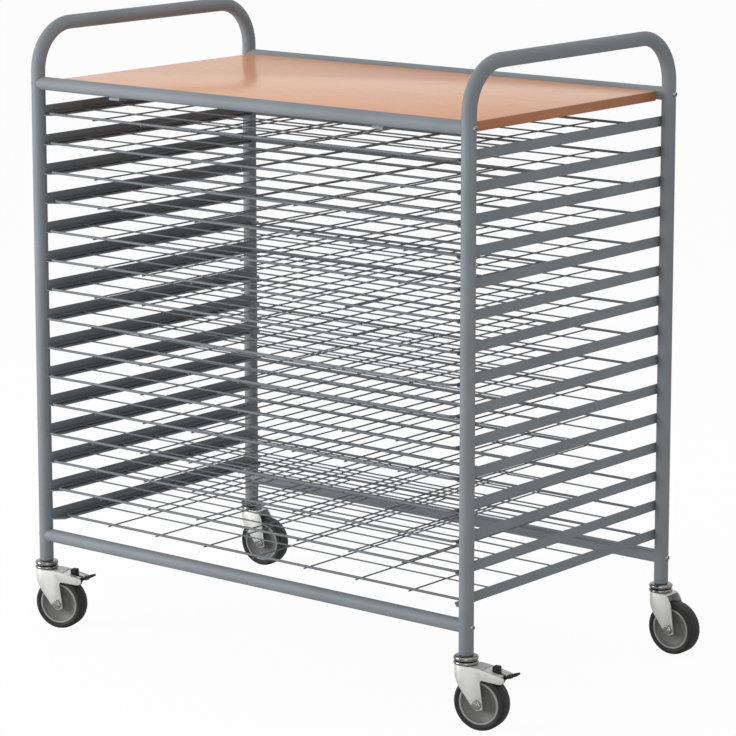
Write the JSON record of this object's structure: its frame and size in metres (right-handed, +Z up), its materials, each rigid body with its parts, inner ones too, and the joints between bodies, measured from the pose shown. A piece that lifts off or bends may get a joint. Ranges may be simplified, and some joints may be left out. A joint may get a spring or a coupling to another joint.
{
  "type": "art drying rack",
  "caption": "Mobile art drying rack with loose wire trays on angle runners between two bent-tube side frames, a laminated top board and swivel castors with brakes at the front.",
  "frame": {"origin": "on the floor, under the middle of the whole rack", "axes": "+X along the rack towards the right side frame, +Y from front to back, +Z up"},
  "size_m": [1.157, 0.6676, 1.1895],
  "materials": {
    "frame_paint": "semi-gloss",
    "wire_paint": "semi-gloss",
    "laminate": "satin",
    "bright_steel": "bright",
    "zinc_steel": "zinc plated",
    "hub_plastic": "matt",
    "tyre_rubber": "matt",
    "brake_plastic": "matt"
  },
  "bodies": {
    "rack": {"side_frame_left": "frame_paint", "side_frame_right": "frame_paint", "rail_top_front": "frame_paint", "bolt_top_front_left": "zinc_steel", "bolt_top_front_right": "zinc_steel", "rail_top_rear": "frame_paint", "bolt_top_rear_left": "zinc_steel", "bolt_top_rear_right": "zinc_steel", "rail_bottom_front": "frame_paint", "bolt_bottom_front_left": "zinc_steel", "bolt_bottom_front_right": "zinc_steel", "rail_bottom_rear": "frame_paint", "bolt_bottom_rear_left": "zinc_steel", "bolt_bottom_rear_right": "zinc_steel", "top_board": "laminate", "board_screw_1": "zinc_steel", "board_screw_2": "zinc_steel", "board_screw_3": "zinc_steel", "board_screw_4": "zinc_steel", "castor_front_left_head": "bright_steel", "castor_front_right_head": "bright_steel", "castor_rear_left_head": "bright_steel", "castor_rear_right_head": "bright_steel"},
    "tray_01": {"tray_01": "wire_paint"},
    "tray_02": {"tray_02": "wire_paint"},
    "tray_03": {"tray_03": "wire_paint"},
    "tray_04": {"tray_04": "wire_paint"},
    "tray_05": {"tray_05": "wire_paint"},
    "tray_06": {"tray_06": "wire_paint"},
    "tray_07": {"tray_07": "wire_paint"},
    "tray_08": {"tray_08": "wire_paint"},
    "tray_09": {"tray_09": "wire_paint"},
    "tray_10": {"tray_10": "wire_paint"},
    "tray_11": {"tray_11": "wire_paint"},
    "tray_12": {"tray_12": "wire_paint"},
    "tray_13": {"tray_13": "wire_paint"},
    "tray_14": {"tray_14": "wire_paint"},
    "tray_15": {"tray_15": "wire_paint"},
    "fork_front_left": {"castor_front_left_fork": "zinc_steel", "castor_front_left_axle_bolt": "zinc_steel", "castor_front_left_axle_nut": "zinc_steel"},
    "wheel_front_left": {"castor_front_left_hub": "hub_plastic", "castor_front_left_tyre": "tyre_rubber"},
    "brake_front_left": {"castor_front_left_brake": "brake_plastic"},
    "fork_front_right": {"castor_front_right_fork": "zinc_steel", "castor_front_right_axle_bolt": "zinc_steel", "castor_front_right_axle_nut": "zinc_steel"},
    "wheel_front_right": {"castor_front_right_hub": "hub_plastic", "castor_front_right_tyre": "tyre_rubber"},
    "brake_front_right": {"castor_front_right_brake": "brake_plastic"},
    "fork_rear_left": {"castor_rear_left_fork": "zinc_steel", "castor_rear_left_axle_bolt": "zinc_steel", "castor_rear_left_axle_nut": "zinc_steel"},
    "wheel_rear_left": {"castor_rear_left_hub": "hub_plastic", "castor_rear_left_tyre": "tyre_rubber"},
    "fork_rear_right": {"castor_rear_right_fork": "zinc_steel", "castor_rear_right_axle_bolt": "zinc_steel", "castor_rear_right_axle_nut": "zinc_steel"},
    "wheel_rear_right": {"castor_rear_right_hub": "hub_plastic", "castor_rear_right_tyre": "tyre_rubber"}
  },
  "joints": [
    {"name": "tray_01_slide", "type": "slide", "parent": "rack", "child": "tray_01", "axis": [0, 1, 0], "range_m": [-0.28, 0.04]},
    {"name": "tray_02_slide", "type": "slide", "parent": "rack", "child": "tray_02", "axis": [0, 1, 0], "range_m": [-0.28, 0.04]},
    {"name": "tray_03_slide", "type": "slide", "parent": "rack", "child": "tray_03", "axis": [0, 1, 0], "range_m": [-0.28, 0.04]},
    {"name": "tray_04_slide", "type": "slide", "parent": "rack", "child": "tray_04", "axis": [0, 1, 0], "range_m": [-0.28, 0.04]},
    {"name": "tray_05_slide", "type": "slide", "parent": "rack", "child": "tray_05", "axis": [0, 1, 0], "range_m": [-0.28, 0.04]},
    {"name": "tray_06_slide", "type": "slide", "parent": "rack", "child": "tray_06", "axis": [0, 1, 0], "range_m": [-0.28, 0.04]},
    {"name": "tray_07_slide", "type": "slide", "parent": "rack", "child": "tray_07", "axis": [0, 1, 0], "range_m": [-0.28, 0.04]},
    {"name": "tray_08_slide", "type": "slide", "parent": "rack", "child": "tray_08", "axis": [0, 1, 0], "range_m": [-0.28, 0.04]},
    {"name": "tray_09_slide", "type": "slide", "parent": "rack", "child": "tray_09", "axis": [0, 1, 0], "range_m": [-0.28, 0.04]},
    {"name": "tray_10_slide", "type": "slide", "parent": "rack", "child": "tray_10", "axis": [0, 1, 0], "range_m": [-0.28, 0.04]},
    {"name": "tray_11_slide", "type": "slide", "parent": "rack", "child": "tray_11", "axis": [0, 1, 0], "range_m": [-0.28, 0.04]},
    {"name": "tray_12_slide", "type": "slide", "parent": "rack", "child": "tray_12", "axis": [0, 1, 0], "range_m": [-0.28, 0.04]},
    {"name": "tray_13_slide", "type": "slide", "parent": "rack", "child": "tray_13", "axis": [0, 1, 0], "range_m": [-0.28, 0.04]},
    {"name": "tray_14_slide", "type": "slide", "parent": "rack", "child": "tray_14", "axis": [0, 1, 0], "range_m": [-0.28, 0.04]},
    {"name": "tray_15_slide", "type": "slide", "parent": "rack", "child": "tray_15", "axis": [0, 1, 0], "range_m": [-0.28, 0.04]},
    {"name": "swivel_front_left", "type": "hinge", "parent": "rack", "child": "fork_front_left", "pos_m": [-0.55602, -0.30935, 0.119], "axis": [0, 0, 1], "continuous": true},
    {"name": "roll_front_left", "type": "hinge", "parent": "fork_front_left", "child": "wheel_front_left", "pos_m": [-0.52525, -0.30053, 0.05], "axis": [-0.2756, 0.9613, 0], "continuous": true},
    {"name": "pedal_front_left", "type": "hinge", "parent": "fork_front_left", "child": "brake_front_left", "pos_m": [-0.48486, -0.28895, 0.098], "axis": [-0.2756, 0.9613, 0], "range_deg": [0, 20]},
    {"name": "swivel_front_right", "type": "hinge", "parent": "rack", "child": "fork_front_right", "pos_m": [0.47198, -0.30935, 0.119], "axis": [0, 0, 1], "continuous": true},
    {"name": "roll_front_right", "type": "hinge", "parent": "fork_front_right", "child": "wheel_front_right", "pos_m": [0.5035, -0.3038, 0.05], "axis": [-0.1736, 0.9848, 0], "continuous": true},
    {"name": "pedal_front_right", "type": "hinge", "parent": "fork_front_right", "child": "brake_front_right", "pos_m": [0.54488, -0.2965, 0.098], "axis": [-0.1736, 0.9848, 0], "range_deg": [0, 20]},
    {"name": "swivel_rear_left", "type": "hinge", "parent": "rack", "child": "fork_rear_left", "pos_m": [-0.55602, 0.30164, 0.119], "axis": [0, 0, 1], "continuous": true},
    {"name": "roll_rear_left", "type": "hinge", "parent": "fork_rear_left", "child": "wheel_rear_left", "pos_m": [-0.52433, 0.3061, 0.05], "axis": [-0.1392, 0.9903, 0], "continuous": true},
    {"name": "swivel_rear_right", "type": "hinge", "parent": "rack", "child": "fork_rear_right", "pos_m": [0.47198, 0.30164, 0.119], "axis": [0, 0, 1], "continuous": true},
    {"name": "roll_rear_right", "type": "hinge", "parent": "fork_rear_right", "child": "wheel_rear_right", "pos_m": [0.50399, 0.30164, 0.05], "axis": [0, 1, 0], "continuous": true}
  ]
}
